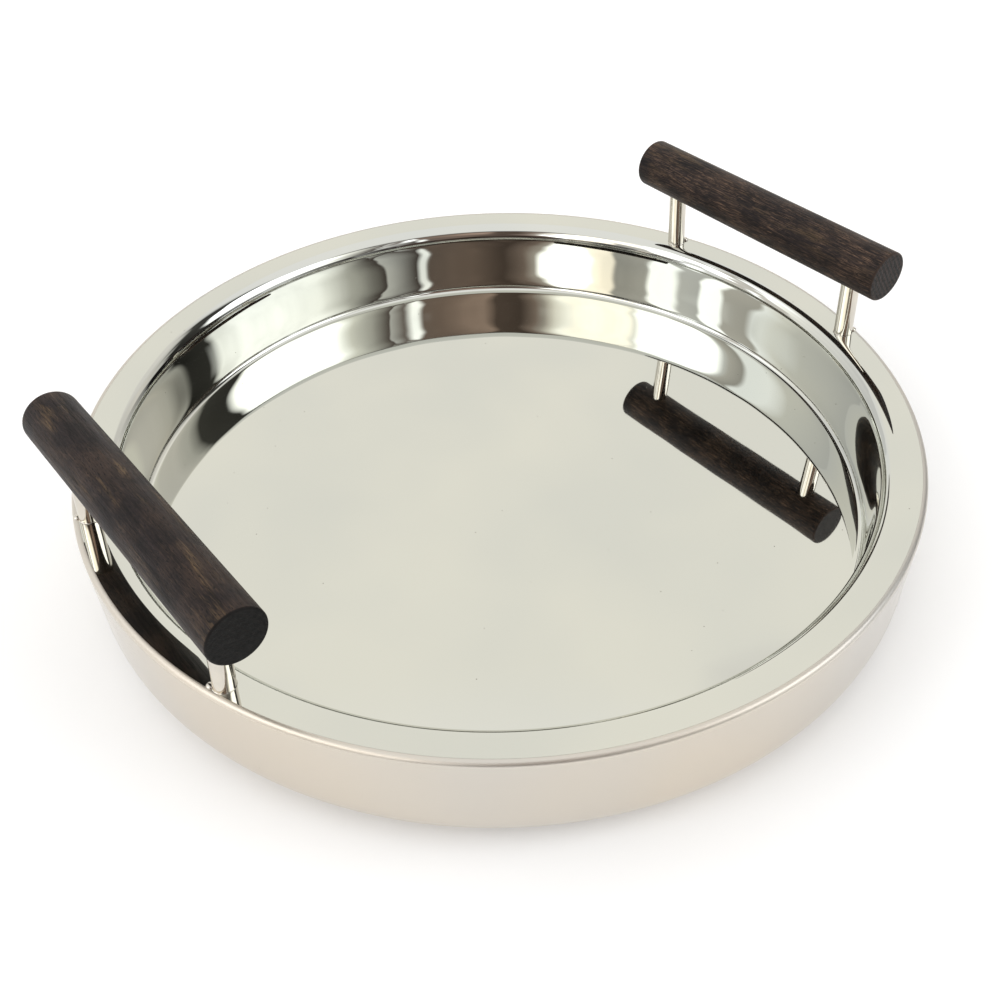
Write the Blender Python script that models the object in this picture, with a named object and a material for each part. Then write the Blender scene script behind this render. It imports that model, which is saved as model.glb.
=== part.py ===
"""Round double-walled serving tray with two wooden dowel grips on metal posts.

Metres, +Z up. The origin is the centre of the flat base, on the standing surface.
The grips lie along Y, the left one at -X and the right one at +X.
"""
import bpy
import bmesh
from math import cos, pi, radians, sin, sqrt, tan
from mathutils import Matrix, Vector

# Body
RIM_RADIUS = 0.1905         # outer edge of the rim
BODY_HEIGHT = 0.0565        # standing surface to the crest of the rim
SHEET = 0.0010              # metal sheet of both shells
EDGE_RADIUS = 0.0024        # outer edge, where the rim turns down into the shell
RIM_SLOPE = radians(4.0)    # the rim falls in towards the pocket, and the posts lean by as much

# Pocket, the hollow that things are carried in
POCKET_RADIUS = 0.1716      # top of the wall, just under the roll
POCKET_DEPTH = 0.0395       # crest of the rim to the floor
POCKET_DRAFT = radians(3.0)
ROLL_RADIUS = 0.0080        # convex roll between rim and wall
FLOOR_FILLET = 0.0030

# Outer shell
SHELL_LEAN = radians(1.5)   # the wall leans in towards the base
CORNER_WIDTH = 0.0500       # full rounded corner, measured along the base
CORNER_HEIGHT = 0.0222
CORNER_FULLNESS = 2.6       # 2 is an ellipse, more is squarer

# Grips, posts and their weld tacks
GRIP_RADIUS = 0.0120
GRIP_LENGTH = 0.1535
GRIP_EASE = 0.0010          # eased edge at both ends
GRIP_RISE = 0.0404          # crest of the rim up to the grip's axis
POST_SPACING = 0.1160       # between the two feet of a grip, in the middle of the rim
POST_RADIUS = 0.0045
POST_SEAT = 0.0040          # how far a post goes into the wood
BEAD_RADIUS = 0.0018
BEAD_REACH = 0.0004         # bead's centre beyond the post's surface
BEAD_TURN = radians(30)     # clockwise round the post from the side away from the tray

# Fasteners inside
SCREW_RADIUS = 0.0020
SCREW_TIP = 0.0006          # chamfer at the screw's end
HEAD_RADIUS = 0.0038
HEAD_HEIGHT = 0.0026
HEAD_EASE = 0.0006
SOCKET_RADIUS = 0.0014      # corners of the hexagon
SOCKET_DEPTH = 0.0014
WASHER_RADIUS = 0.0045
WASHER_THICKNESS = 0.0008
INSERT_RADIUS = 0.0031
INSERT_LENGTH = 0.0100
INSERT_RIBS = 4
RIB_DEPTH = 0.0004
THREAD_END = 0.0010         # the screw stops this far below the insert's top

# Fits and facets
GAP = 0.0003                # between faces that touch
SHELL_STEPS = 64            # round the two shells
GRIP_STEPS = 36
SMALL_STEPS = 16            # round small turned pieces

# Worked out from the sizes above
EDGE_START = RIM_RADIUS - EDGE_RADIUS * (1 + sin(RIM_SLOPE))
RIM_END = EDGE_START - GAP
ROLL_START = POCKET_RADIUS + ROLL_RADIUS * (cos(POCKET_DRAFT) - sin(RIM_SLOPE))
FOOT_RADIUS = (RIM_END + ROLL_START) / 2
FOOT_OFFSET = sqrt(FOOT_RADIUS ** 2 - (POST_SPACING / 2) ** 2)
FOOT_HEIGHT = BODY_HEIGHT - (EDGE_START - FOOT_RADIUS) * tan(RIM_SLOPE)
GRIP_HEIGHT = BODY_HEIGHT + GRIP_RISE
GRIP_OFFSET = FOOT_OFFSET - (GRIP_HEIGHT - FOOT_HEIGHT) * tan(RIM_SLOPE)

# Along a post from the face of the rim, upwards
AXIS_REACH = (GRIP_HEIGHT - FOOT_HEIGHT) / cos(RIM_SLOPE)
SEAT_TOP = AXIS_REACH - GRIP_RADIUS + POST_SEAT
INSERT_TOP = SEAT_TOP + INSERT_LENGTH
WASHER_TOP = -SHEET - GAP
HEAD_TOP = WASHER_TOP - WASHER_THICKNESS - GAP
HEAD_BOTTOM = HEAD_TOP - HEAD_HEIGHT
BORE_RADIUS = SCREW_RADIUS + GAP
SIDES = {"left": -1, "right": 1}
ENDS = {"front": -1, "back": 1}


def material(name, color, roughness, metallic):
    mat = bpy.data.materials.new(name)
    mat.use_nodes = True
    shader = mat.node_tree.nodes["Principled BSDF"]
    shader.inputs["Base Color"].default_value = (*color, 1.0)
    shader.inputs["Roughness"].default_value = roughness
    shader.inputs["Metallic"].default_value = metallic
    return mat


def add_object(name, bm, mat):
    mesh = bpy.data.meshes.new(name)
    bm.to_mesh(mesh)
    bm.free()
    mesh.shade_smooth()
    mesh.set_sharp_from_angle(angle=radians(30))
    mesh.materials.append(mat)
    obj = bpy.data.objects.new(name, mesh)
    bpy.context.scene.collection.objects.link(obj)
    return obj


def turned(outline, steps):
    """A solid of revolution about Z from a closed outline of (radius, height) points."""
    bm = bmesh.new()
    verts = [bm.verts.new((r, 0.0, z)) for r, z in outline]
    sides = [pair for pair in zip(verts, verts[1:] + verts[:1]) if pair[0].co.x + pair[1].co.x > 0]
    edges = [bm.edges.new(pair) for pair in sides]
    bmesh.ops.spin(bm, geom=verts + edges, cent=(0, 0, 0), axis=(0, 0, 1), angle=2 * pi,
                   steps=steps, use_merge=True, use_duplicate=False)
    bmesh.ops.remove_doubles(bm, verts=bm.verts, dist=1e-6)
    bmesh.ops.recalc_face_normals(bm, faces=bm.faces)
    return bm


def arc(centre, radius, start, end, steps):
    """Points on an arc in the (radius, height) plane. Angles run from +Z towards +radius."""
    angles = [start + (end - start) * i / steps for i in range(steps + 1)]
    return [(centre[0] + radius * sin(a), centre[1] + radius * cos(a)) for a in angles]


def sheet_outline(face, first_normal, last_normal):
    """Close a face profile into a sheet by stepping back from it square to its own run."""
    points = [Vector(p) for p in face]
    normals = [Vector(first_normal)]
    for before, here, after in zip(points, points[1:], points[2:]):
        along = ((here - before).normalized() + (after - here).normalized()).normalized()
        normals.append(Vector((-along.y, along.x)))
    normals.append(Vector(last_normal))
    back = [p - n * SHEET for p, n in zip(points, normals)]
    return face + [tuple(p) for p in reversed(back)]


def rim_height(radius):
    return BODY_HEIGHT - (EDGE_START - radius) * tan(RIM_SLOPE)


def pan_face():
    """Upper face of the pan, from the centre of its floor out to the end of its rim."""
    floor = BODY_HEIGHT - POCKET_DEPTH
    roll_centre = (ROLL_START + ROLL_RADIUS * sin(RIM_SLOPE),
                   rim_height(ROLL_START) - ROLL_RADIUS * cos(RIM_SLOPE))
    roll = arc(roll_centre, ROLL_RADIUS, POCKET_DRAFT - pi / 2, -RIM_SLOPE, 6)
    fillet_height = floor + FLOOR_FILLET
    wall_foot = fillet_height - FLOOR_FILLET * sin(POCKET_DRAFT)
    foot_radius = roll[0][0] - (roll[0][1] - wall_foot) * tan(POCKET_DRAFT)
    fillet_centre = (foot_radius - FLOOR_FILLET * cos(POCKET_DRAFT), fillet_height)
    fillet = arc(fillet_centre, FLOOR_FILLET, pi, pi / 2 + POCKET_DRAFT, 3)
    return [(0.0, floor)] + fillet + roll + [(RIM_END, rim_height(RIM_END))]


def shell_face():
    """Outer face of the shell, from its top inner end round to the centre of the base."""
    edge_centre = (RIM_RADIUS - EDGE_RADIUS, BODY_HEIGHT - EDGE_RADIUS * cos(RIM_SLOPE))
    edge = arc(edge_centre, EDGE_RADIUS, -RIM_SLOPE, pi / 2 + SHELL_LEAN, 4)
    wall_foot = edge[-1][0] - (edge[-1][1] - CORNER_HEIGHT) * tan(SHELL_LEAN)
    corner = []
    corner_steps = 9
    for i in range(corner_steps + 1):
        turn = pi / 2 * i / corner_steps
        across = 1 - max(0.0, cos(turn)) ** (2 / CORNER_FULLNESS)
        down = 1 - sin(turn) ** (2 / CORNER_FULLNESS)
        corner.append((wall_foot - CORNER_WIDTH * across, CORNER_HEIGHT * down))
    return edge + corner + [(0.0, 0.0)]


def add_cutter(name, bm, location, lean=(0, 0, 0)):
    cutter = add_object(name, bm, steel)
    cutter.location = location
    cutter.rotation_euler = lean
    cutter.hide_render = True
    cutter.display_type = "WIRE"
    return cutter


def cut(obj, cutter):
    modifier = obj.modifiers.new(cutter.name, "BOOLEAN")
    modifier.operation = "DIFFERENCE"
    modifier.solver = "EXACT"
    modifier.object = cutter


def rod(radius, bottom, top, steps=SMALL_STEPS):
    return turned([(0.0, bottom), (radius, bottom), (radius, top), (0.0, top)], steps)


def tube(inner, outer, bottom, top):
    return turned([(inner, bottom), (outer, bottom), (outer, top), (inner, top)], SMALL_STEPS)


def grip_body():
    """Dowel with eased ends, turned about Z and laid along Y."""
    half = GRIP_LENGTH / 2
    low_ease = arc((GRIP_RADIUS - GRIP_EASE, GRIP_EASE - half), GRIP_EASE, pi, pi / 2, 3)
    high_ease = arc((GRIP_RADIUS - GRIP_EASE, half - GRIP_EASE), GRIP_EASE, pi / 2, 0.0, 3)
    bm = turned([(0.0, -half)] + low_ease + high_ease + [(0.0, half)], GRIP_STEPS)
    bmesh.ops.rotate(bm, matrix=Matrix.Rotation(pi / 2, 3, "X"), verts=bm.verts)
    return bm


def grip_socket():
    """Stepped hole up into the grip: the post's seat, then the insert's hole."""
    below = AXIS_REACH - 2 * GRIP_RADIUS
    seat, hole = POST_RADIUS + GAP, INSERT_RADIUS + GAP
    top = INSERT_TOP + GAP
    return turned([(0.0, below), (seat, below), (seat, SEAT_TOP), (hole, SEAT_TOP),
                   (hole, top), (0.0, top)], SMALL_STEPS)


def grip_insert():
    """Ribbed brass sleeve pressed into the wood."""
    rib = INSERT_LENGTH / INSERT_RIBS
    outside = []
    for i in range(INSERT_RIBS):
        bottom = SEAT_TOP + rib * i
        outside += [(INSERT_RADIUS - RIB_DEPTH, bottom), (INSERT_RADIUS, bottom + rib * 0.6)]
    return turned([(BORE_RADIUS, SEAT_TOP)] + outside
                  + [(INSERT_RADIUS - RIB_DEPTH, INSERT_TOP), (BORE_RADIUS, INSERT_TOP)], SMALL_STEPS)


def grip_screw():
    """Long machine screw, head down, from under the rim up into the insert."""
    tip = INSERT_TOP - THREAD_END
    return turned([(0.0, HEAD_BOTTOM), (HEAD_RADIUS - HEAD_EASE, HEAD_BOTTOM),
                   (HEAD_RADIUS, HEAD_BOTTOM + HEAD_EASE), (HEAD_RADIUS, HEAD_TOP),
                   (SCREW_RADIUS, HEAD_TOP), (SCREW_RADIUS, tip - SCREW_TIP),
                   (SCREW_RADIUS - SCREW_TIP, tip), (0.0, tip)], SMALL_STEPS)


def tack_bead(out):
    """Half-round bead of weld that sits on the rim beside the post's foot."""
    dome = arc((0.0, GAP), BEAD_RADIUS, 0.0, pi / 2, 4)
    bm = turned(dome + [(0.0, GAP)], SMALL_STEPS)
    reach = out * (POST_RADIUS + BEAD_REACH)
    bmesh.ops.translate(bm, vec=(reach * cos(BEAD_TURN), -reach * sin(BEAD_TURN), 0), verts=bm.verts)
    return bm


def build_bodies():
    rim_normal = (-sin(RIM_SLOPE), cos(RIM_SLOPE))
    pan = add_object("inner_pan", turned(
        sheet_outline(pan_face(), (0, 1), rim_normal), SHELL_STEPS), polished)
    add_object("outer_shell", turned(
        sheet_outline(shell_face(), rim_normal, (0, -1)), SHELL_STEPS), polished)
    return pan


def build_post(tag, out, along, pan, grip):
    """One post with its fasteners. out is the side away from the tray."""
    foot = Vector((out * FOOT_OFFSET, along * POST_SPACING / 2, FOOT_HEIGHT))
    lean = (0, -out * RIM_SLOPE, 0)
    cut(grip, add_cutter("socket_cutter_" + tag, grip_socket(), foot, lean))
    rim_hole = rod(BORE_RADIUS, HEAD_BOTTOM, POST_RADIUS)
    cut(pan, add_cutter("rim_cutter_" + tag, rim_hole, foot, lean))

    post = add_object("post_" + tag, tube(BORE_RADIUS, POST_RADIUS, GAP, SEAT_TOP - GAP), polished)
    washer = add_object("screw_washer_" + tag,
                        tube(BORE_RADIUS, WASHER_RADIUS, WASHER_TOP - WASHER_THICKNESS, WASHER_TOP), steel)
    insert = add_object("grip_insert_" + tag, grip_insert(), brass)
    screw = add_object("grip_screw_" + tag, grip_screw(), steel)
    bead = add_object("tack_bead_" + tag, tack_bead(out), polished)
    for piece in (post, washer, insert, screw, bead):
        piece.location = foot
        piece.rotation_euler = lean
    hexagon = rod(SOCKET_RADIUS, HEAD_BOTTOM - SOCKET_DEPTH, HEAD_BOTTOM + SOCKET_DEPTH, 6)
    cut(screw, add_cutter("hexagon_cutter_" + tag, hexagon, foot, lean))
    clear_post = rod(POST_RADIUS + GAP, -POST_RADIUS, 2 * BEAD_RADIUS)
    cut(bead, add_cutter("post_cutter_" + tag, clear_post, foot, lean))


def build_grips(pan):
    for side, out in SIDES.items():
        grip = add_object("grip_" + side, grip_body(), wood)
        grip.location = (out * GRIP_OFFSET, 0, GRIP_HEIGHT)
        for end, along in ENDS.items():
            build_post(side + "_" + end, out, along, pan, grip)


for old in list(bpy.data.objects):
    bpy.data.objects.remove(old, do_unlink=True)

polished = material("polished_nickel_steel", (0.66, 0.62, 0.54), 0.05, 1.0)
steel = material("zinc_plated_steel", (0.55, 0.55, 0.55), 0.35, 1.0)
brass = material("turned_brass", (0.72, 0.53, 0.24), 0.3, 1.0)
wood = material("dark_stained_wood", (0.035, 0.023, 0.018), 0.5, 0.0)
build_grips(build_bodies())
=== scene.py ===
from math import cos, pi, radians, sin, sqrt, tan
import bpy
from mathutils import Matrix, Vector


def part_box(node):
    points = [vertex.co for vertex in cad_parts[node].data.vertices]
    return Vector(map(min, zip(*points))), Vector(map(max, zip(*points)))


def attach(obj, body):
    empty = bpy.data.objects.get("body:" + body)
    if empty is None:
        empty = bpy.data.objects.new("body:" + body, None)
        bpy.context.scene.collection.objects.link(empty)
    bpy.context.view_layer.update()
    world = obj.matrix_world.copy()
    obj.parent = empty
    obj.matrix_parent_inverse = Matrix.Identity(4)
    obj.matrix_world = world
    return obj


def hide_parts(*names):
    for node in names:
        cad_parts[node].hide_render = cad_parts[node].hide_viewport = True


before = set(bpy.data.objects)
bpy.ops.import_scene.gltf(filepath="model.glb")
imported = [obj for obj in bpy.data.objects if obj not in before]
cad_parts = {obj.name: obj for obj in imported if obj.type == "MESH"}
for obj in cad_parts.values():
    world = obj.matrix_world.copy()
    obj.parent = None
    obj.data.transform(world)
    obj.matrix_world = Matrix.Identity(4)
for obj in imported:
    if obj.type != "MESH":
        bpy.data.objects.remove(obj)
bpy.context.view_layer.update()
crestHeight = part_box("inner_pan")[1].z
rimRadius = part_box("outer_shell")[1].x
sides = {"left": -1, "right": 1}
ends = {"front": -1, "back": 1}


# Where one stands to look at the tray: in front of it, a little to its left, and well above it.
viewpoint = {
    "aim": (-0.0354, -0.0454, crestHeight),
    "distance": 0.4902,
    "azimuth": radians(-37.83),
    "elevation": radians(42.48),
    "roll": radians(-1.51),
    "lens": 41.73,
    "nearest": 0.01,
}


def addCamera():
    a, e = viewpoint["azimuth"], viewpoint["elevation"]
    back = Vector((sin(a) * cos(e), -cos(a) * cos(e), sin(e)))
    bpy.ops.object.camera_add(location=Vector(viewpoint["aim"]) + back * viewpoint["distance"])
    camera = bpy.context.object
    level = (-back).to_track_quat("-Z", "Y").to_matrix()
    camera.rotation_euler = (level @ Matrix.Rotation(viewpoint["roll"], 3, "Z")).to_euler()
    camera.data.lens = viewpoint["lens"]
    camera.data.clip_start = viewpoint["nearest"]
    bpy.context.scene.camera = camera


def hexColor(text, strength=1.0):
    # sRGB hex to the linear colour that shaders work in
    channels = [int(text[i:i + 2], 16) / 255 for i in (0, 2, 4)]
    linear = [c / 12.92 if c <= 0.04045 else ((c + 0.055) / 1.055) ** 2.4 for c in channels]
    return (*[c * strength for c in linear], 1.0)


def addNode(tree, kind, links=None, **settings):
    node = tree.nodes.new(kind)
    for name, value in settings.items():
        setattr(node, name, value)
    for socket, value in (links or {}).items():
        if isinstance(value, bpy.types.NodeSocket):
            tree.links.new(value, node.inputs[socket])
        else:
            node.inputs[socket].default_value = value
    return node


# The studio: white on the far side, and behind the camera a dark room with tall bright windows.
# A stop is an azimuth in degrees from -Y towards +X, its tint and its strength.
studio = {
    "lowLeft": [
        (-180, "f8f8f8", 0.85), (-160, "f8f8f8", 0.95), (-146, "fffefa", 1.10), (-138, "fffefa", 1.38),
        (-130, "fafcff", 1.89), (-127.5, "fffaf4", 0.80), (-118, "fffaf4", 0.90), (-116, "fafcff", 2.68),
        (-108, "fafcff", 2.81), (-106.5, "ffffff", 0.97), (-98, "ffffff", 1.05), (-96, "fafcff", 2.68),
        (-90, "fafcff", 2.68), (-88.5, "fffcf8", 0.74), (-79, "fffcf8", 0.66), (-77, "fff6ea", 2.20),
        (-69, "fff6ea", 2.68), (-67, "fafcff", 3.29), (-55, "fafcff", 3.29), (-53, "fff4ec", 0.75),
        (-49, "ffe2d4", 0.33), (-42, "ffdecd", 0.12), (-30, "ffdecd", 0.28), (-17, "ffe2d4", 0.24),
        (-15.5, "fafcff", 2.07), (-14, "fafcff", 2.07), (-12, "ffeae2", 0.12), (0, "ffeae2", 0.11),
    ],
    "lowRight": [
        (0, "ffeae2", 0.11), (7, "fff4ee", 0.10), (10, "fffffa", 0.90), (20, "fcfeff", 2.32),
        (50, "fafcff", 2.56), (60, "fcfeff", 1.83), (63, "fffdf5", 0.06), (77, "fffdf5", 0.03),
        (80, "fffefa", 0.70), (94, "fffaf2", 0.95), (105, "fffcf8", 0.83), (112, "fffcf8", 0.80),
        (120, "fffdf6", 1.08), (165, "fffdf6", 1.08), (180, "f8f8f8", 0.85),
    ],
    "highLeft": [
        (-180, "f8f8f8", 0.95), (-160, "f8f8f8", 0.95), (-152, "fffefa", 1.15), (-145, "fafcff", 1.83),
        (-134, "fafcff", 1.83), (-131, "fffaf4", 0.65), (-124, "fffaf4", 0.90), (-121.5, "ffffff", 1.20),
        (-118, "fafcff", 3.17), (-91, "fafcff", 3.17), (-88.5, "fffefa", 1.95), (-86, "fffaf2", 2.68),
        (-66, "fffaf2", 2.68), (-63, "fffefa", 2.32), (-59, "fffaf2", 1.30), (-56, "fff4ec", 0.70),
        (-52, "ffe4d6", 0.38), (-46, "ffdecd", 0.12), (-38, "ffdecd", 0.16), (-35, "ffdecd", 0.60),
        (-20, "ffdecd", 0.33), (-13, "ffe2d4", 0.30), (-11, "fafcff", 2.56), (-9, "fafcff", 2.56),
        (-6, "ffeae2", 0.27), (0, "ffeae2", 0.17),
    ],
    "highRight": [
        (0, "ffeae2", 0.17), (8, "fff4ee", 0.17), (11, "fffffa", 1.10), (15, "fffffa", 1.45),
        (19, "fcfeff", 2.32), (22, "fafcff", 3.17), (62, "fafcff", 3.17), (66, "fffdf5", 0.06),
        (84, "fffdf5", 0.08), (87, "fffefa", 0.45), (91, "fffefa", 0.80), (100, "fffcf8", 0.95),
        (113, "fffcf8", 0.95), (119, "fffdf6", 1.08), (165, "fffdf6", 1.08), (180, "f8f8f8", 0.95),
    ],
    "levels": (29, 37),       # degrees up, where the lower picture gives way to the upper one
    "ceiling": 1.10,
    "ceilingRise": (50, 58),  # degrees up
    "windowFoot": (23, 16),   # degrees up, where a window's rounded foot starts and ends
    "windowHead": (43, 50),   # and its rounded head
    "windowRound": 8.0,       # degrees that its sides draw in there
    "windowCurve": 2.5,       # how late they draw in, where 1 is all the way along
    "windowDark": 0.35,       # what is left of the light beyond its ends
    "wobble": 11.0,           # degrees that the edges of the windows wander
    "wobbleScale": (3.4, 3.4, 10.0),
    "streaks": 0.14,
    "streakScale": 9.0,
    "cameraSide": (0.25, -0.10),   # a direction's share of +Y, where rounding and streaks fade in
    "backdrop": 1.0,
}


def addRoomRamp(tree, around, side, level):
    first = -180 if side == "Left" else 0
    along = addNode(tree, "ShaderNodeMapRange", {0: around, 1: first, 2: first + 180})
    ramp = addNode(tree, "ShaderNodeValToRGB", {0: along.outputs[0]})
    stops = ramp.color_ramp.elements
    spare = stops[1]
    for azimuth, tint, strength in studio[level + side][1:]:
        stops.new((azimuth - first) / 180).color = hexColor(tint, strength)
    stops.remove(spare)
    stops[0].color = hexColor(*studio[level + side][0][1:])
    return ramp.outputs[0]


def addRoom(tree, around, upper):
    halves = []
    for side in ("Left", "Right"):
        halves.append(addNode(tree, "ShaderNodeMix",
                              {0: upper, 6: addRoomRamp(tree, around, side, "low"),
                               7: addRoomRamp(tree, around, side, "high")}, data_type="RGBA"))
    right = addNode(tree, "ShaderNodeMath", {0: around, 1: 0.0}, operation="GREATER_THAN")
    return addNode(tree, "ShaderNodeMix", {0: right.outputs[0], 6: halves[0].outputs[2],
                                           7: halves[1].outputs[2]}, data_type="RGBA").outputs[2]


def studioAngles(tree, direction):
    # azimuth, swayed a little, and height, both in degrees
    parts = addNode(tree, "ShaderNodeSeparateXYZ", {0: direction})
    flipped = addNode(tree, "ShaderNodeMath", {0: parts.outputs["Y"], 1: -1.0}, operation="MULTIPLY")
    turn = addNode(tree, "ShaderNodeMath", {0: parts.outputs["X"], 1: flipped.outputs[0]},
                   operation="ARCTAN2")
    inDegrees = addNode(tree, "ShaderNodeMath", {0: turn.outputs[0], 1: 180 / pi}, operation="MULTIPLY")
    rise = addNode(tree, "ShaderNodeMath", {0: parts.outputs["Z"]}, operation="ARCSINE")
    height = addNode(tree, "ShaderNodeMath", {0: rise.outputs[0], 1: 180 / pi}, operation="MULTIPLY")
    tall = addNode(tree, "ShaderNodeMapping", {"Vector": direction, "Scale": studio["wobbleScale"]})
    sway = addNode(tree, "ShaderNodeTexNoise", {"Vector": tall.outputs[0], "Scale": 1.0, "Detail": 0.6})
    swayed = addNode(tree, "ShaderNodeMapRange",
                     {0: sway.outputs[0], 3: -studio["wobble"] / 2, 4: studio["wobble"] / 2})
    around = addNode(tree, "ShaderNodeMath", {0: inDegrees.outputs[0], 1: swayed.outputs[0]})
    return around.outputs[0], height.outputs[0], parts.outputs["Y"]


def addWindowEnds(tree, height):
    # 0 along a window and 1 beyond its rounded foot or head
    draws = []
    for start, end in (studio["windowFoot"], studio["windowHead"]):
        ramp = addNode(tree, "ShaderNodeMapRange", {0: height, 1: start, 2: end}).outputs[0]
        draws.append(addNode(tree, "ShaderNodeMath", {0: ramp, 1: studio["windowCurve"]},
                             operation="POWER").outputs[0])
    return addNode(tree, "ShaderNodeMath", {0: draws[0], 1: draws[1]}).outputs[0]


def addRoundedRoom(tree, around, height, drawn):
    # the darker of two rooms turned a little apart, so that bright windows narrow where they end
    inwards = addNode(tree, "ShaderNodeMath", {0: drawn, 1: studio["windowRound"]},
                      operation="MULTIPLY").outputs[0]
    low, high = studio["levels"]
    upper = addNode(tree, "ShaderNodeMapRange", {0: height, 1: low, 2: high}).outputs[0]
    rooms = []
    for operation in ("ADD", "SUBTRACT"):
        shifted = addNode(tree, "ShaderNodeMath", {0: around, 1: inwards}, operation=operation).outputs[0]
        rooms.append(addRoom(tree, shifted, upper))
    return addNode(tree, "ShaderNodeMix", {0: 1.0, 6: rooms[0], 7: rooms[1]},
                   data_type="RGBA", blend_type="DARKEN").outputs[2]


def buildStudio():
    world = bpy.data.worlds.new("studio")
    bpy.context.scene.world = world
    world.use_nodes = True
    tree = world.node_tree
    tree.nodes.clear()
    out = addNode(tree, "ShaderNodeOutputWorld")
    direction = addNode(tree, "ShaderNodeTexCoord").outputs["Generated"]
    around, height, backward = studioAngles(tree, direction)
    drawn = addWindowEnds(tree, height)
    room = addRoundedRoom(tree, around, height, drawn)

    # windows are cut short and streaked on the camera's side only
    far, near = studio["cameraSide"]
    cameraSide = addNode(tree, "ShaderNodeMapRange", {0: backward, 1: far, 2: near}).outputs[0]
    beyond = addNode(tree, "ShaderNodeMapRange", {0: drawn, 1: 0.6, 2: 1.0}).outputs[0]
    dimmed = addNode(tree, "ShaderNodeMath", {0: beyond, 1: cameraSide}, operation="MULTIPLY").outputs[0]
    left = addNode(tree, "ShaderNodeMapRange", {0: dimmed, 3: 1.0, 4: studio["windowDark"]}).outputs[0]
    ended = addNode(tree, "ShaderNodeVectorMath", {0: room, 1: left}, operation="MULTIPLY").outputs[0]
    streak = addNode(tree, "ShaderNodeTexNoise",
                     {"Vector": direction, "Scale": studio["streakScale"], "Detail": 4.0})
    depth = addNode(tree, "ShaderNodeMapRange", {0: cameraSide, 3: 1.0, 4: 1 - studio["streaks"]})
    shade = addNode(tree, "ShaderNodeMapRange", {0: streak.outputs[0], 1: 0.3, 2: 0.7,
                                                 3: depth.outputs[0], 4: 1.0})
    shaded = addNode(tree, "ShaderNodeVectorMath", {0: ended, 1: shade.outputs[0]}, operation="MULTIPLY")

    low, high = studio["ceilingRise"]
    overhead = addNode(tree, "ShaderNodeMapRange", {0: height, 1: low, 2: high},
                       interpolation_type="SMOOTHSTEP")
    whole = addNode(tree, "ShaderNodeMix", {0: overhead.outputs[0], 6: shaded.outputs[0],
                                            7: (*[studio["ceiling"]] * 3, 1.0)}, data_type="RGBA")
    light = addNode(tree, "ShaderNodeBackground", {0: whole.outputs[2]})
    backdrop = addNode(tree, "ShaderNodeBackground", {0: (*[studio["backdrop"]] * 3, 1.0)})
    seen = addNode(tree, "ShaderNodeLightPath").outputs["Is Camera Ray"]
    choice = addNode(tree, "ShaderNodeMixShader", {0: seen, 1: light.outputs[0], 2: backdrop.outputs[0]})
    tree.links.new(choice.outputs[0], out.inputs[0])
    bpy.context.scene.view_settings.view_transform = "Standard"


# Matte white paper, lit a little from within so that it stays white round the tray.
paleFloor = {
    "size": 14.0,
    "below": 0.0002,
    "color": "fbfbfb",
    "roughness": 0.9,
    "specular": 0.1,
    "glow": 0.10,
}


def addFloor():
    bpy.ops.mesh.primitive_plane_add(size=paleFloor["size"], location=(0, 0, -paleFloor["below"]))
    floor = bpy.context.object
    floor.name = "paleFloor"
    paper = bpy.data.materials.new("matteBackdropPaper")
    paper.use_nodes = True
    shader = paper.node_tree.nodes["Principled BSDF"]
    shader.inputs["Base Color"].default_value = hexColor(paleFloor["color"])
    shader.inputs["Roughness"].default_value = paleFloor["roughness"]
    shader.inputs["Specular IOR Level"].default_value = paleFloor["specular"]
    shader.inputs["Emission Color"].default_value = hexColor("ffffff")
    shader.inputs["Emission Strength"].default_value = paleFloor["glow"]
    floor.data.materials.append(paper)


bpy.ops.object.select_all(action="DESELECT")
addCamera()
buildStudio()
addFloor()
print("camera, studio and floor are in place")


def newMaterial(name, color, metallic, roughness):
    mat = bpy.data.materials.new(name)
    mat.use_nodes = True
    shader = mat.node_tree.nodes["Principled BSDF"]
    shader.inputs["Base Color"].default_value = hexColor(color)
    shader.inputs["Metallic"].default_value = metallic
    shader.inputs["Roughness"].default_value = roughness
    return mat, mat.node_tree, shader


def perMm(size):
    # texture scale for a pattern whose features are this many millimetres apart
    return 1000.0 / size


# Stainless sheet, spun and buffed to a mirror, with a warm nickel tone.
# The eye sees a sharp image that is slightly bent by the spinning, with faint smears and dust on it.
panSteel = {
    "color": "d5d5cd",
    "cloud": "cfd0ca",
    "cloudSize": 90.0,
    "roughness": (0.012, 0.035),
    "smearSize": 38.0,
    "waveSize": 42.0,
    "waveHeight": 0.00010,
    "dustSpacing": 6.5,
    "dustSize": 0.055,
    "dustKept": 0.22,
    "dustColor": "96938a",
}

# The outer shell is the same sheet with a softer buff, which blurs the table in it.
shellSteel = {
    "color": "d6cdbf",
    "cloud": "cbc8c2",
    "cloudSize": 150.0,
    "roughness": (0.15, 0.24),
    "smearSize": 30.0,
    "waveSize": 60.0,
    "waveHeight": 0.00015,
    "dustSpacing": 5.0,
    "dustSize": 0.05,
    "dustKept": 0.30,
    "dustColor": "b4ada2",
    "edgeRoughness": 0.40,           # the outer edge is scuffed duller still
    "edgeDepth": (0.0032, 0.0012),   # below the crest, where that fades in
}

# Turned rod and its solder, buffed by hand, so it is a touch softer than the pan.
postSteel = {
    "color": "d8d2c6",
    "cloud": "cfcac0",
    "cloudSize": 8.0,
    "roughness": (0.05, 0.11),
    "smearSize": 6.0,
    "waveSize": 9.0,
    "waveHeight": 0.00002,
    "dustSpacing": 5.0,
    "dustSize": 0.03,
    "dustKept": 0.30,
    "dustColor": "a9a294",
}


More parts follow.
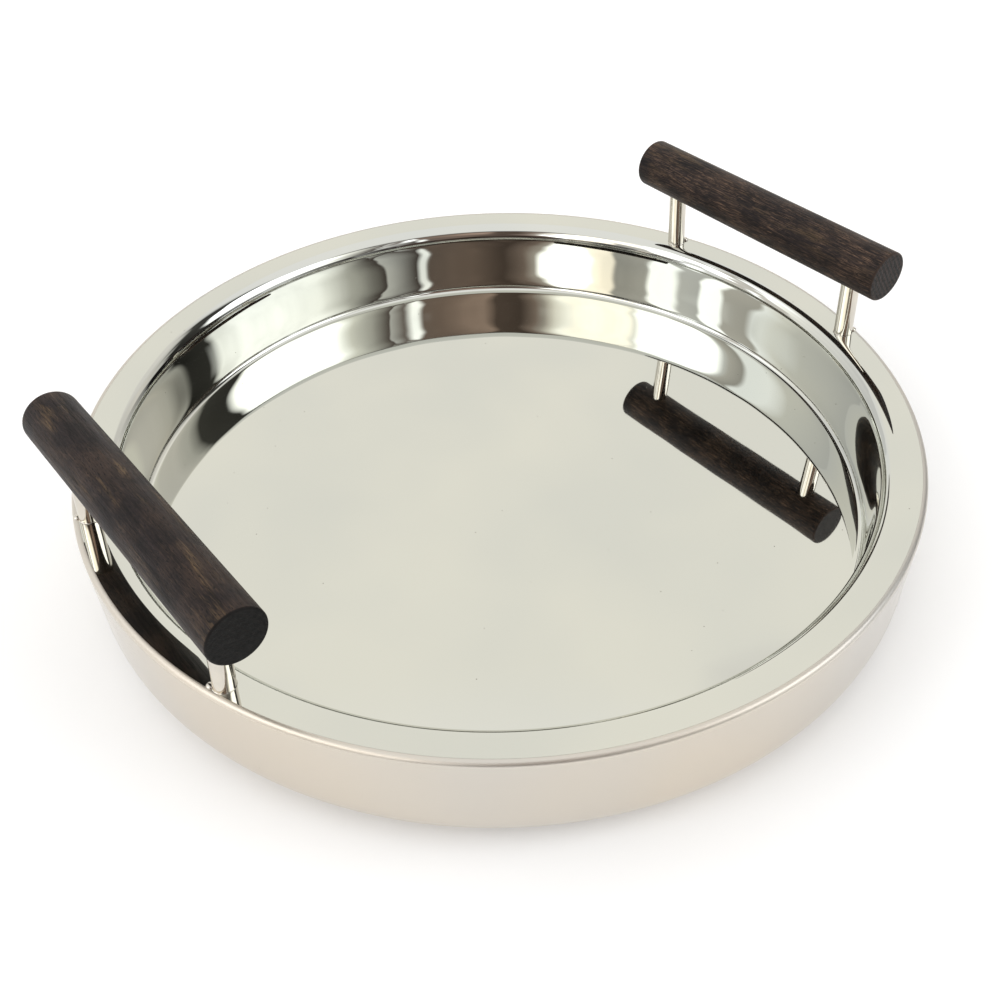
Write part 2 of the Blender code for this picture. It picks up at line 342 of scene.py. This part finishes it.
def mirrorSheet(name, finish):
    mat, tree, shader = newMaterial(name, finish["color"], 1.0, finish["roughness"][0])
    place = addNode(tree, "ShaderNodeTexCoord").outputs["Object"]
    smear = addNode(tree, "ShaderNodeTexNoise",
                    {"Vector": place, "Scale": perMm(finish["smearSize"]), "Detail": 6.0, "Roughness": 0.62})
    dust = addNode(tree, "ShaderNodeTexVoronoi",
                   {"Vector": place, "Scale": perMm(finish["dustSpacing"]), "Randomness": 1.0})
    speck = addNode(tree, "ShaderNodeMapRange",
                    {0: dust.outputs["Distance"], 1: finish["dustSize"], 2: finish["dustSize"] * 0.5})
    keep = addNode(tree, "ShaderNodeSeparateColor", {0: dust.outputs["Color"]})
    few = addNode(tree, "ShaderNodeMath", {0: keep.outputs[0], 1: finish["dustKept"]}, operation="LESS_THAN")
    specks = addNode(tree, "ShaderNodeMath", {0: speck.outputs[0], 1: few.outputs[0]}, operation="MULTIPLY")
    drift = addNode(tree, "ShaderNodeTexNoise",
                    {"Vector": place, "Scale": perMm(finish["cloudSize"]), "Detail": 2.0})
    mood = addNode(tree, "ShaderNodeMapRange", {0: drift.outputs[0], 1: 0.35, 2: 0.65})
    sheet = addNode(tree, "ShaderNodeMix", {0: mood.outputs[0], 6: hexColor(finish["color"]),
                                            7: hexColor(finish["cloud"])}, data_type="RGBA")
    tone = addNode(tree, "ShaderNodeMix", {0: specks.outputs[0], 6: sheet.outputs[2],
                                           7: hexColor(finish["dustColor"])}, data_type="RGBA")
    tree.links.new(tone.outputs[2], shader.inputs["Base Color"])
    low, high = finish["roughness"]
    gloss = addNode(tree, "ShaderNodeMapRange", {0: smear.outputs[0], 1: 0.35, 2: 0.7, 3: low, 4: high})
    dulled = addNode(tree, "ShaderNodeMath", {0: specks.outputs[0], 1: 0.35, 2: gloss.outputs[0]},
                     operation="MULTIPLY_ADD")
    rough = dulled.outputs[0]
    if "edgeRoughness" in finish:
        height = addNode(tree, "ShaderNodeSeparateXYZ", {0: place}).outputs["Z"]
        foot, head = [crestHeight - depth for depth in finish["edgeDepth"]]
        scuffed = addNode(tree, "ShaderNodeMapRange",
                          {0: height, 1: foot, 2: head, 4: finish["edgeRoughness"]}).outputs[0]
        rough = addNode(tree, "ShaderNodeMath", {0: rough, 1: scuffed}, operation="MAXIMUM").outputs[0]
    tree.links.new(rough, shader.inputs["Roughness"])
    wave = addNode(tree, "ShaderNodeTexNoise",
                   {"Vector": place, "Scale": perMm(finish["waveSize"]), "Detail": 1.0})
    bump = addNode(tree, "ShaderNodeBump", {"Height": wave.outputs[0], "Distance": finish["waveHeight"]})
    tree.links.new(bump.outputs[0], shader.inputs["Normal"])
    return mat


# Mango wood dowel, stained near black and rubbed back with sandpaper.
# The eye sees open pores along the grain, golden worn patches on top that also paint the light falling on
# the upper side, and dark end grain with saw lines.
# A grain pattern is mm across, mm along, detail, roughness and where in the noise it starts.
darkWood = {
    "deep": "090606",
    "stain": "231919",
    "wornLitTone": "7f6748",
    # colour of the golden patches on the top: wear and painted light together
    "fleck": "735b49",
    "rubbed": "4a3a31",
    "pore": "060404",
    "roughness": (0.42, 0.62),
    "fibres": (1.5, 26.0, 5.0, 0.60, 0),
    "streaks": (0.45, 9.0, 3.0, 0.60, 3),
    "patches": (4.5, 34.0, 4.0, 0.60, 7),
    "pores": (0.32, 2.2, 2.0, 0.50, 11),
    "flecks": (0.30, 7.5, 3.0, 0.65, 15),
    "blotch": 16.0,
    "speckle": 0.5,
    "wornLitTop": (-0.002, 0.010),     # height over the dowel's axis, where the golden wear fades in; keeping it to the top also paints the light on the upper side
    "sawSpacing": 1.1,
    "sawTurn": radians(35),
    "endDepth": 0.0009,
    "endEdge": (0.0106, 0.0114),    # distance from the axis, where the rubbed edge of the end fades in
    "specular": 0.2,
    "poreDepth": 0.00025,
    "fibreDepth": 0.0005,
}

# The two dowels were rubbed back unevenly.
gripWear = {
    "left": {"seed": 5.0, "golden": 0.75, "flecks": 0.22, "endTone": 0.06},
    "right": {"seed": 2.0, "golden": 0.60, "flecks": 1.0, "endTone": 0.75},
}


def alongGrain(tree, local, seed, across, along, detail, roughness, shift):
    # noise drawn out along the dowel
    wide, tall = perMm(across), perMm(along)
    start = seed + shift
    space = addNode(tree, "ShaderNodeMapping",
                    {"Vector": local, "Scale": (wide, tall, wide), "Location": (start, start / 2, 0)})
    return addNode(tree, "ShaderNodeTexNoise", {"Vector": space.outputs[0], "Scale": 1.0, "Detail": detail,
                                                "Roughness": roughness, "Distortion": 0.25}).outputs[0]


def stainedWood(name, centre, halfLength, wear):
    w = darkWood
    mat, tree, shader = newMaterial(name, w["stain"], 0.0, w["roughness"][0])
    place = addNode(tree, "ShaderNodeTexCoord").outputs["Object"]
    local = addNode(tree, "ShaderNodeMapping", {"Vector": place, "Location": -Vector(centre)}).outputs[0]
    parts = addNode(tree, "ShaderNodeSeparateXYZ", {0: local}).outputs
    grain = {layer: alongGrain(tree, local, wear["seed"], *w[layer])
             for layer in ("fibres", "streaks", "patches", "pores", "flecks")}
    blotch = addNode(tree, "ShaderNodeTexNoise",
                     {"Vector": local, "Scale": perMm(w["blotch"]), "Detail": 3.0}).outputs[0]
    speckle = addNode(tree, "ShaderNodeTexNoise",
                      {"Vector": local, "Scale": perMm(w["speckle"]), "Detail": 2.0}).outputs[0]
    turned = addNode(tree, "ShaderNodeMapping",
                     {"Vector": local, "Rotation": (0, w["sawTurn"], 0)}).outputs[0]
    saw = addNode(tree, "ShaderNodeTexWave", {"Vector": turned, "Scale": perMm(w["sawSpacing"]) / 20 * pi,
                                              "Distortion": 1.5, "Detail": 2.0, "Detail Scale": 2.0},
                  wave_type="BANDS", bands_direction="X").outputs["Fac"]
    endward = addNode(tree, "ShaderNodeMath", {0: parts["Y"]}, operation="ABSOLUTE").outputs[0]
    flat = addNode(tree, "ShaderNodeCombineXYZ", {0: parts["X"], 1: parts["Z"]}).outputs[0]
    fromAxis = addNode(tree, "ShaderNodeVectorMath", {0: flat}, operation="LENGTH").outputs["Value"]

    # where each layer shows: a pattern, the two values it fades between, and how much shows at each
    endStart = halfLength - w["endDepth"]
    fades = {
        "stain": (grain["fibres"], 0.30, 0.70, 0.0, 1.0),
        "rubbed": (blotch, 0.42, 0.66, 0.0, 0.50),
        # golden wear kept to the upper side, so that it is painted light on the top as well as wear
        "wornLitTop": (parts["Z"], *w["wornLitTop"], 0.0, 1.0),
        "golden": (grain["patches"], 0.53, 0.72, 0.0, 1.0),
        "streaky": (grain["streaks"], 0.42, 0.62, 0.1, wear["golden"]),
        "flecks": (grain["flecks"], 0.52, 0.67, 0.0, wear["flecks"]),
        "thickest": (blotch, 0.36, 0.56, 0.35, 1.0),
        "pores": (grain["pores"], 0.43, 0.34, 0.0, 0.95),
        "end": (endward, endStart, endStart + w["endDepth"] * 0.6, 0.0, 1.0),
        "saw": (saw, 0.0, 1.0, 0.0, 1.0),
        "speckle": (speckle, 0.30, 0.70, 0.0, 1.0),
        "edge": (fromAxis, *w["endEdge"], 0.0, 1.0),
        "edgeWorn": (blotch, 0.35, 0.60, 0.2, 0.8),
        "gloss": (grain["fibres"], 0.30, 0.70, *reversed(w["roughness"])),
    }
    shows = {layer: addNode(tree, "ShaderNodeMapRange", dict(enumerate(fade))).outputs[0]
             for layer, fade in fades.items()}
    for layer, also in (("golden", "wornLitTop"), ("golden", "streaky"), ("flecks", "thickest"),
                        ("saw", "speckle"), ("edge", "edgeWorn")):
        shows[layer] = addNode(tree, "ShaderNodeMath", {0: shows[layer], 1: shows[also]},
                               operation="MULTIPLY").outputs[0]

    # colours laid over one another, along the dowel and then on its sawn ends
    endTone = wear["endTone"]
    side, cut = hexColor(w["deep"]), hexColor(w["deep"], endTone)
    for layer, color in (("stain", hexColor(w["stain"])), ("rubbed", hexColor(w["rubbed"], 0.8)),
                         ("golden", hexColor(w["wornLitTone"])), ("flecks", hexColor(w["fleck"])),
                         ("pores", hexColor(w["pore"]))):
        side = addNode(tree, "ShaderNodeMix", {0: shows[layer], 6: side, 7: color},
                       data_type="RGBA").outputs[2]
    for layer in ("saw", "edge"):
        cut = addNode(tree, "ShaderNodeMix", {0: shows[layer], 6: cut, 7: hexColor(w["rubbed"], endTone)},
                      data_type="RGBA").outputs[2]
    whole = addNode(tree, "ShaderNodeMix", {0: shows["end"], 6: side, 7: cut}, data_type="RGBA")
    tree.links.new(whole.outputs[2], shader.inputs["Base Color"])
    tree.links.new(shows["gloss"], shader.inputs["Roughness"])
    shader.inputs["Specular IOR Level"].default_value = w["specular"]
    pits = addNode(tree, "ShaderNodeBump", {"Height": grain["pores"], "Distance": w["poreDepth"],
                                            "Strength": 0.6})
    ridges = addNode(tree, "ShaderNodeBump", {"Height": grain["fibres"], "Distance": w["fibreDepth"],
                                              "Strength": 0.5, "Normal": pits.outputs[0]})
    tree.links.new(ridges.outputs[0], shader.inputs["Normal"])
    return mat


# Zinc-plated steel: a bluish grey metal with a soft, slightly cloudy shine.
zincPlate = {"color": "c4c6c8", "roughness": (0.25, 0.40), "cloudSize": 1.5}


def zincSteel():
    low, high = zincPlate["roughness"]
    mat, tree, shader = newMaterial("zincPlatedSteel", zincPlate["color"], 1.0, low)
    place = addNode(tree, "ShaderNodeTexCoord").outputs["Object"]
    cloud = addNode(tree, "ShaderNodeTexNoise",
                    {"Vector": place, "Scale": perMm(zincPlate["cloudSize"]), "Detail": 3.0})
    gloss = addNode(tree, "ShaderNodeMapRange", {0: cloud.outputs[0], 1: 0.3, 2: 0.7, 3: low, 4: high})
    tree.links.new(gloss.outputs[0], shader.inputs["Roughness"])
    return mat


# Free-cutting brass straight off the lathe: warm yellow with fine turning marks round it.
brassTurning = {"color": "d8b66c", "roughness": 0.28, "markSpacing": 0.25, "markLength": 16.7,
                "markDepth": 0.00002}


def turnedBrass():
    b = brassTurning
    mat, tree, shader = newMaterial("turnedBrass", b["color"], 1.0, b["roughness"])
    place = addNode(tree, "ShaderNodeTexCoord").outputs["Object"]
    along = perMm(b["markLength"])
    marks = addNode(tree, "ShaderNodeMapping",
                    {"Vector": place, "Scale": (along, along, perMm(b["markSpacing"]))})
    lines = addNode(tree, "ShaderNodeTexNoise", {"Vector": marks.outputs[0], "Scale": 1.0, "Detail": 2.0})
    bump = addNode(tree, "ShaderNodeBump", {"Height": lines.outputs[0], "Distance": b["markDepth"]})
    tree.links.new(bump.outputs[0], shader.inputs["Normal"])
    return mat


panMetal = mirrorSheet("mirrorPolishedSteel", panSteel)
postMetal = mirrorSheet("polishedPostSteel", postSteel)
shellMetal = mirrorSheet("buffedShellSteel", shellSteel)
fastenerMetal = zincSteel()
insertMetal = turnedBrass()
print("metals are mixed")


# The pan's section: floor, fillet, wall, roll and rim. Radii and heights are of its upper face.
panShape = {
    "pocketRadius": 0.1716,
    "pocketDepth": 0.0395,
    "draft": radians(3.0),
    "bend": radians(5.0),
    "wallRings": 20,
    "rollRadius": 0.0080,
    "rollSteps": 26,
    "floorFillet": 0.0030,
    "filletSteps": 14,
    "rimSlope": radians(4.0),
    "edgeRadius": 0.0024,
    "sheet": 0.0010,
    "cadGap": 0.0003,
    "seam": 0.00006,
    "guard": 0.0004,       # a ring this close to a curve keeps the flat beyond it flat
    "segments": 448,
}

# The shell's section: rounded edge, near-upright wall and a full corner that is squarer than a circle.
shellShape = {
    "edgeSteps": 18,
    "lean": radians(1.5),
    "cornerWidth": 0.0500,
    "cornerHeight": 0.0222,
    "fullness": 2.6,
    "cornerSteps": 34,
}


def arcPoints(centre, radius, start, end, steps):
    # angles run from straight up towards the outside
    turns = [start + (end - start) * i / steps for i in range(steps + 1)]
    return [(centre[0] + radius * sin(t), centre[1] + radius * cos(t)) for t in turns]


def edgeStart():
    return rimRadius - panShape["edgeRadius"] * (1 + sin(panShape["rimSlope"]))


def rimHeight(radius):
    # the rim falls in towards the pocket
    return crestHeight - (edgeStart() - radius) * tan(panShape["rimSlope"])


def rollFoot():
    # the radius where the rim turns down into the pocket
    s = panShape
    return s["pocketRadius"] + s["rollRadius"] * (cos(s["draft"]) - sin(s["rimSlope"]))


def panOutline():
    # the wall is straightest halfway up and bends a little more at both ends, into fillet and roll
    s = panShape
    floor = crestHeight - s["pocketDepth"]
    rollStart = rollFoot()
    rollCentre = (rollStart + s["rollRadius"] * sin(s["rimSlope"]),
                  rimHeight(rollStart) - s["rollRadius"] * cos(s["rimSlope"]))
    slackest = s["draft"] - s["bend"] / 4
    steepest = slackest + s["bend"]
    roll = arcPoints(rollCentre, s["rollRadius"], steepest - pi / 2, -s["rimSlope"],
                     s["rollSteps"])
    wallFoot = floor + s["floorFillet"] * (1 - sin(steepest))
    wallTop = roll[0][1]
    step = (wallTop - wallFoot) / s["wallRings"]
    wall, radius, height = [], roll[0][0], wallTop
    for i in range(1, s["wallRings"] + 1):
        part = (i - 0.5) / s["wallRings"]
        radius -= step * tan(slackest + s["bend"] * abs(2 * part - 1) ** 3)
        height -= step
        wall.append((radius, height))
    wall.reverse()
    filletCentre = (wall[0][0] - s["floorFillet"] * cos(steepest), floor + s["floorFillet"])
    fillet = arcPoints(filletCentre, s["floorFillet"], pi, pi / 2 + steepest, s["filletSteps"])
    land = [(r, rimHeight(r)) for r in (rollStart + s["guard"], edgeStart() - s["seam"])]
    return [(fillet[0][0] - s["guard"], floor)] + fillet + wall[1:] + roll + land


def shellOutline():
    s, c = panShape, shellShape
    edgeCentre = (rimRadius - s["edgeRadius"], crestHeight - s["edgeRadius"] * cos(s["rimSlope"]))
    edge = arcPoints(edgeCentre, s["edgeRadius"], -s["rimSlope"], pi / 2 + c["lean"],
                     c["edgeSteps"])
    wallFoot = edge[-1][0] - (edge[-1][1] - c["cornerHeight"]) * tan(c["lean"])
    corner = []
    for i in range(c["cornerSteps"] + 1):
        turn = pi / 2 * i / c["cornerSteps"]
        across = 1 - max(0.0, cos(turn)) ** (2 / c["fullness"])
        down = 1 - sin(turn) ** (2 / c["fullness"])
        corner.append((wallFoot - c["cornerWidth"] * across, c["cornerHeight"] * down))
    guard = s["guard"]
    wall = [(edge[-1][0] - guard * tan(c["lean"]), edge[-1][1] - guard)]
    return edge + wall + corner + [(corner[-1][0] - guard, 0.0)]


def drawRings(name, outline, segments):
    # a circle pulled from ring to ring along the outline
    bpy.ops.object.select_all(action="DESELECT")
    radius, height = outline[0]
    bpy.ops.mesh.primitive_circle_add(vertices=segments, radius=radius, location=(0, 0, 0))
    piece = bpy.context.object
    piece.name = piece.data.name = name
    bpy.ops.object.mode_set(mode="EDIT")
    bpy.ops.mesh.select_all(action="SELECT")
    bpy.ops.transform.translate(value=(0, 0, height))
    for nextRadius, nextHeight in outline[1:]:
        bpy.ops.mesh.extrude_region_move(TRANSFORM_OT_translate={"value": (0, 0, nextHeight - height)})
        grow = nextRadius / radius
        bpy.ops.transform.resize(value=(grow, grow, 1))
        radius, height = nextRadius, nextHeight
    bpy.ops.object.mode_set(mode="OBJECT")
    return piece


def selectRing(piece, radius, height):
    # edit mode's selection is set while in object mode
    near = 0.00001
    bpy.ops.object.mode_set(mode="EDIT")
    bpy.ops.mesh.select_mode(type="VERT")
    bpy.ops.mesh.select_all(action="DESELECT")
    bpy.ops.object.mode_set(mode="OBJECT")
    for vertex in piece.data.vertices:
        co = vertex.co
        vertex.select = abs(co.xy.length - radius) < near and abs(co.z - height) < near
    bpy.ops.object.mode_set(mode="EDIT")


def closeRings(piece, *rings):
    for radius, height in rings:
        selectRing(piece, radius, height)
        bpy.ops.mesh.edge_face_add()
        bpy.ops.object.mode_set(mode="OBJECT")


def faceOut(piece, up):
    # the flat middle decides which way the whole sheet faces
    bpy.ops.object.mode_set(mode="EDIT")
    bpy.ops.mesh.select_all(action="SELECT")
    bpy.ops.mesh.normals_make_consistent(inside=False)
    bpy.ops.object.mode_set(mode="OBJECT")
    middle = max(piece.data.polygons, key=lambda face: face.area)
    if (middle.normal.z > 0) != up:
        bpy.ops.object.mode_set(mode="EDIT")
        bpy.ops.mesh.flip_normals()
        bpy.ops.object.mode_set(mode="OBJECT")


def thicken(piece):
    # the drawn face is the one that shows, and the sheet's thickness lies behind it
    solid = piece.modifiers.new("sheet", "SOLIDIFY")
    solid.thickness = panShape["sheet"]
    solid.offset = -1
    solid.use_even_offset = True
    bpy.ops.object.modifier_apply(modifier=solid.name)


def finishPiece(piece, mat, node, angle=30):
    bpy.ops.object.select_all(action="DESELECT")
    piece.select_set(True)
    bpy.context.view_layer.objects.active = piece
    bpy.ops.object.transform_apply(location=True, rotation=True, scale=True)
    bpy.ops.object.shade_smooth_by_angle(angle=radians(angle))
    piece.data.materials.clear()
    piece.data.materials.append(mat)
    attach(piece, "root")
    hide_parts(node)


def buildPan():
    outline = panOutline()
    pan = drawRings("trayPan", outline, panShape["segments"])
    closeRings(pan, outline[0])
    faceOut(pan, True)
    thicken(pan)
    finishPiece(pan, panMetal, "inner_pan")
    return pan


def buildShell():
    outline = shellOutline()
    shell = drawRings("trayShell", outline, panShape["segments"])
    closeRings(shell, outline[-1])
    faceOut(shell, False)
    thicken(shell)
    finishPiece(shell, shellMetal, "outer_shell")


trayPan = buildPan()
buildShell()
print("pan and shell are spun")


gripShape = {
    "ease": 0.0010,
    "easeSteps": 8,
    "seat": 0.0040,
    "dish": 0.00012,       # the sawn end is a little hollow, over the inner half of its width
    "ringGap": 0.0080,
    "segments": 120,
    "clearance": 0.00005,
    "drillFrom": 0.02,     # how far over the rim the drill starts
}

postShape = {
    "spacing": 0.1160,
    "radius": 0.0045,
    "bore": 0.0023,
    "boreReach": 0.0040,    # how far above and below the rim the pan is drilled
    "topEase": 0.0003,
    "solderOut": 0.00040,   # soft solder drawn round the foot
    "solderUp": 0.00055,
    "solderSteps": 6,
    "rings": (0.3, 0.7),    # shares of its height
    "segments": 72,
}

beadShape = {
    "radius": 0.0018,
    "height": 0.0012,
    "reach": 0.0049,
    "turn": radians(30),    # clockwise round the post from the side away from the tray
    "domeSteps": 10,
    "segments": 36,
}


def footPlace(out, along):
    # the middle of the rim, where a post stands square on it
    radius = (edgeStart() - panShape["cadGap"] + rollFoot()) / 2
    half = postShape["spacing"] / 2
    return Vector((out * sqrt(radius ** 2 - half ** 2), along * half, rimHeight(radius)))


def postLean(side):
    # square to the rim
    return -sides[side] * panShape["rimSlope"]


def seatTop(gripLow, gripHigh, foot):
    # how far up its own axis a post reaches
    reach = ((gripLow.z + gripHigh.z) / 2 - foot.z) / cos(panShape["rimSlope"])
    return reach - (gripHigh.z - gripLow.z) / 2 + gripShape["seat"]


def outwards(piece):
    bpy.ops.object.mode_set(mode="EDIT")
    bpy.ops.mesh.select_all(action="SELECT")
    bpy.ops.mesh.remove_doubles(threshold=0.000002)   # where an outline ends on its own start
    bpy.ops.mesh.normals_make_consistent(inside=False)
    bpy.ops.object.mode_set(mode="OBJECT")


drillSides = 48


def drill(piece, radius, bottom, top, foot, lean):
    # bottom and top are heights along the drill, from the foot
    bpy.ops.object.select_all(action="DESELECT")
    bpy.ops.mesh.primitive_cylinder_add(vertices=drillSides, radius=radius, depth=top - bottom)
    bit = bpy.context.object
    bit.rotation_euler = (0, lean, 0)
    bit.location = foot + bit.rotation_euler.to_matrix() @ Vector((0, 0, (top + bottom) / 2))
    bpy.context.view_layer.update()
    hole = piece.modifiers.new("hole", "BOOLEAN")
    hole.operation = "DIFFERENCE"
    hole.solver = "EXACT"
    hole.object = bit
    bpy.context.view_layer.objects.active = piece
    bpy.ops.object.modifier_apply(modifier=hole.name)
    bpy.data.objects.remove(bit, do_unlink=True)


def copyOf(pattern, name):
    bpy.ops.object.select_all(action="DESELECT")
    pattern.select_set(True)
    bpy.context.view_layer.objects.active = pattern
    bpy.ops.object.duplicate(linked=False)
    twin = bpy.context.object
    twin.name = twin.data.name = name
    return twin


def shapeGrip(low, high):
    g = gripShape
    radius, half = (high.z - low.z) / 2, (high.y - low.y) / 2
    bottomEase = arcPoints((radius - g["ease"], g["ease"] - half), g["ease"], pi, pi / 2,
                           g["easeSteps"])
    topEase = arcPoints((radius - g["ease"], half - g["ease"]), g["ease"], pi / 2, 0.0,
                        g["easeSteps"])
    rings = round(2 * half / g["ringGap"])
    body = [(radius, -half + 2 * half * i / rings) for i in range(1, rings)]
    inner = radius * 0.5
    outline = [(inner, g["dish"] - half)] + bottomEase + body + topEase + [(inner, half - g["dish"])]
    grip = drawRings("gripPattern", outline, g["segments"])
    closeRings(grip, outline[0], outline[-1])
    outwards(grip)
    grip.rotation_euler = (pi / 2, 0, 0)
    grip.location = (low + high) / 2
    bpy.ops.object.transform_apply(location=True, rotation=True, scale=True)
    for along in ends.values():
        foot = footPlace(sides["left"], along)
        drill(grip, postShape["radius"] + g["clearance"], g["drillFrom"], seatTop(low, high, foot),
              foot, postLean("left"))
    return grip


def shapePost(top):
    p = postShape
    radius, ease = p["radius"], p["topEase"]
    flare = []
    for i in range(p["solderSteps"] + 1):
        turn = pi / 2 * i / p["solderSteps"]
        flare.append((radius + p["solderOut"] * (1 - sin(turn)), p["solderUp"] * (1 - cos(turn))))
    shaft = [(radius, top * share) for share in p["rings"]]
    end = [(radius, top - ease), (radius - ease, top), (p["bore"], top)]
    outline = [(p["bore"], 0.0)] + flare + shaft + end + [(p["bore"], 0.0)]
    post = drawRings("postPattern", outline, p["segments"])
    outwards(post)
    return post


def shapeBead():
    b = beadShape
    dome = []
    for i in range(1, b["domeSteps"] + 1):
        turn = pi / 2 * i / b["domeSteps"]
        dome.append((b["radius"] * sin(turn), b["height"] * cos(turn)))
    bead = drawRings("beadPattern", dome, b["segments"])
    closeRings(bead, dome[0], dome[-1])
    outwards(bead)
    return bead


def placeGrip(pattern, side):
    # half a turn round the tray carries the left grip to the right
    grip = copyOf(pattern, "woodGrip_" + side)
    grip.rotation_euler = (0, 0, 0 if side == "left" else pi)
    low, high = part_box("grip_" + side)
    wood = stainedWood("darkStainedWood_" + side, (low + high) / 2, (high.y - low.y) / 2, gripWear[side])
    finishPiece(grip, wood, "grip_" + side, angle=35)


def placePost(pattern, side, end):
    foot = footPlace(sides[side], ends[end])
    post = copyOf(pattern, "post_" + side + end.capitalize())
    post.rotation_euler = (0, postLean(side), 0)
    post.location = foot
    finishPiece(post, postMetal, "post_" + side + "_" + end)
    reach = postShape["boreReach"]
    drill(trayPan, postShape["bore"], -reach, reach, foot, postLean(side))


def placeBead(pattern, side, end):
    b, out = beadShape, sides[side]
    bead = copyOf(pattern, "weldBead_" + side + end.capitalize())
    turned = Matrix.Rotation(postLean(side), 3, "Y")
    shift = Vector((out * b["reach"] * cos(b["turn"]), -out * b["reach"] * sin(b["turn"]), 0))
    bead.rotation_euler = turned.to_euler()
    bead.location = footPlace(out, ends[end]) + turned @ shift
    finishPiece(bead, postMetal, "tack_bead_" + side + "_" + end, angle=60)


gripLow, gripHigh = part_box("grip_left")
gripPattern = shapeGrip(gripLow, gripHigh)
firstFoot = footPlace(sides["left"], ends["front"])
postPattern = shapePost(seatTop(gripLow, gripHigh, firstFoot) - gripShape["clearance"])
beadPattern = shapeBead()
for side in sides:
    placeGrip(gripPattern, side)
    for end in ends:
        placePost(postPattern, side, end)
        placeBead(beadPattern, side, end)
for pattern in (gripPattern, postPattern, beadPattern):
    bpy.data.meshes.remove(pattern.data)
bpy.ops.object.select_all(action="DESELECT")
trayPan.select_set(True)
bpy.context.view_layer.objects.active = trayPan
bpy.ops.object.shade_smooth_by_angle(angle=radians(30))
print("grips stand on their posts")


# Fasteners hidden inside keep their own shape.
hiddenFinish = {"grip_screw": fastenerMetal, "screw_washer": fastenerMetal, "grip_insert": insertMetal}
for name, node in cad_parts.items():
    for kind, finish in hiddenFinish.items():
        if name.startswith(kind):
            node.data.materials.clear()
            node.data.materials.append(finish)
print("fasteners have their finish")
